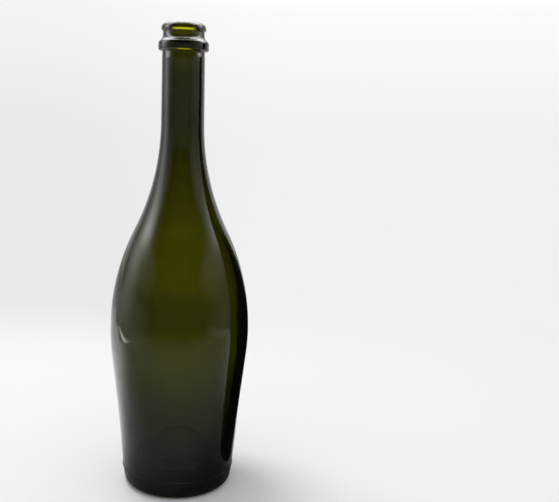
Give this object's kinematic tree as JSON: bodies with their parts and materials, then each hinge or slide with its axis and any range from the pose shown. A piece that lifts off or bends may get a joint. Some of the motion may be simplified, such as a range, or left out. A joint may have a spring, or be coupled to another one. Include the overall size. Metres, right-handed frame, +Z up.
{
  "type": "champagne bottle",
  "caption": "Open sparkling-wine bottle of dark olive glass: crown lip, collar ring, slim neck, long sloping shoulder and a body that tapers to a deep punted base.",
  "frame": {"origin": "centre of the bottle's foot, on the plane it stands on", "axes": "+Z up along the bottle's axis, out of its mouth; X and Y are level, and the bottle is alike all round"},
  "size_m": [0.0942, 0.0942, 0.312],
  "materials": {
    "bottle_glass": "gloss"
  },
  "bodies": {
    "root": {"lip_and_collar": "bottle_glass", "neck": "bottle_glass", "shoulder": "bottle_glass", "body": "bottle_glass", "punted_base": "bottle_glass"}
  },
  "joints": []
}
